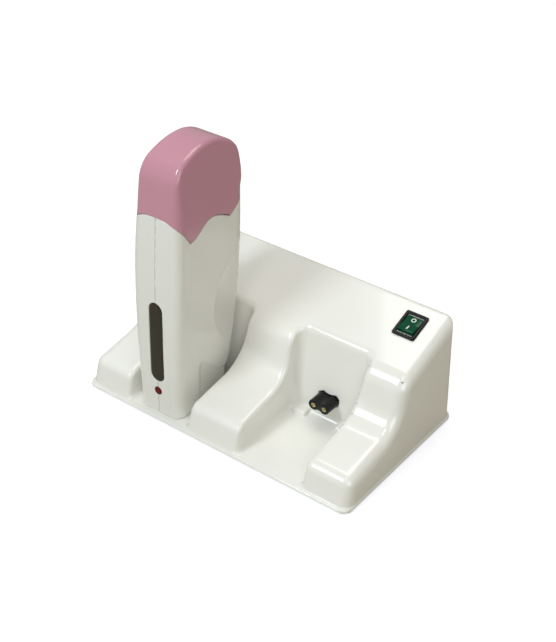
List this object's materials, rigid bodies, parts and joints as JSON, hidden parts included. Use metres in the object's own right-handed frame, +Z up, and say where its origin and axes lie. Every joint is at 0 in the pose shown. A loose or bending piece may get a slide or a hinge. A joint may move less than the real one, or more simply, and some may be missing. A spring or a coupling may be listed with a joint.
{
  "type": "roll on wax heater",
  "caption": "Desktop heater for roll-on wax cartridges: a sloped stand with two docking bays, a mains switch, and a docked handpiece with a window and a scalloped cap",
  "frame": {"origin": "on the table, under the centre of the stand's foot", "axes": "+X to the right seen from the front, +Y to the rear, +Z up; the front of the stand faces -Y"},
  "size_m": [0.266, 0.155, 0.2355],
  "materials": {
    "white_gloss": "glossy injection-moulded plastic, warm white",
    "zinc_steel": "zinc-plated sheet steel",
    "screw_steel": "zinc-plated steel",
    "black_rubber": "soft black rubber",
    "black_gloss": "glossy black plastic",
    "green_gloss": "glossy dark green plastic with white marks",
    "tin_plate": "tin-plated brass",
    "brass": "plain brass",
    "black_matte": "matte black plastic",
    "nickel": "nickel-plated brass",
    "nylon": "plain nylon",
    "wire_cover": "plastic wire cover",
    "white_shell": "glossy injection-moulded plastic, white",
    "inner_white": "matte white plastic",
    "smoked_window": "smoked clear plastic",
    "red_lens": "clear red plastic",
    "lamp_glass": "small neon lamp",
    "aluminium": "drawn aluminium",
    "heater_ceramic": "insulated heating plate",
    "spring_steel": "plain spring steel",
    "thermostat_steel": "pressed steel can",
    "fuse_case": "small metal case",
    "bottle_plastic": "thin translucent plastic",
    "wax": "honey-coloured wax",
    "roller_white": "glossy white plastic",
    "pink_gloss": "glossy dusty pink plastic"
  },
  "bodies": {
    "stand": {"base_shell": "white_gloss", "base_plate": "zinc_steel", "base_screws": "screw_steel", "rubber_feet": "black_rubber", "switch_bezel": "black_gloss", "switch_terminals": "tin_plate", "left_dock_plug": "black_gloss", "right_dock_plug": "black_gloss", "left_dock_contacts": "brass", "right_dock_contacts": "brass", "dock_clamps": "zinc_steel", "clamp_screws": "screw_steel", "mains_inlet": "black_matte", "mains_pins": "nickel", "terminal_block": "nylon", "base_wires": "wire_cover"},
    "rocker": {"switch_rocker": "green_gloss"},
    "handpiece": {"left_shell": "white_shell", "right_shell": "white_shell", "shell_screws": "screw_steel", "mouth_ring": "inner_white", "window_lens": "smoked_window", "lamp_lens": "red_lens", "lamp_body": "lamp_glass", "heater_sleeve": "aluminium", "ptc_heater": "heater_ceramic", "heater_spring": "spring_steel", "thermostat": "thermostat_steel", "thermal_fuse": "fuse_case", "handpiece_inlet": "black_matte", "handpiece_pins": "nickel", "handpiece_wires": "wire_cover"},
    "cartridge": {"bottle": "bottle_plastic", "wax": "wax", "roller_head": "inner_white"},
    "roller": {"roller": "roller_white"},
    "cap": {"cap": "pink_gloss"}
  },
  "joints": [
    {"name": "rocker_tilt", "type": "hinge", "parent": "stand", "child": "rocker", "pos_m": [0.1017, 0.05056, 0.08973], "axis": [1, 0, 0], "range_deg": [0, 20]},
    {"name": "handpiece_undock", "type": "slide", "parent": "stand", "child": "handpiece", "axis": [0, -1, 0], "range_m": [0, 0.09]},
    {"name": "cartridge_lift", "type": "slide", "parent": "handpiece", "child": "cartridge", "axis": [0, 0.061, 0.9981], "range_m": [0, 0.13]},
    {"name": "roller_spin", "type": "hinge", "parent": "cartridge", "child": "roller", "pos_m": [-0.0572, -0.02478, 0.18079], "axis": [0, 0.9981, -0.061], "continuous": true},
    {"name": "cap_lift", "type": "slide", "parent": "cartridge", "child": "cap", "axis": [0, 0.061, 0.9981], "range_m": [0, 0.07]}
  ]
}
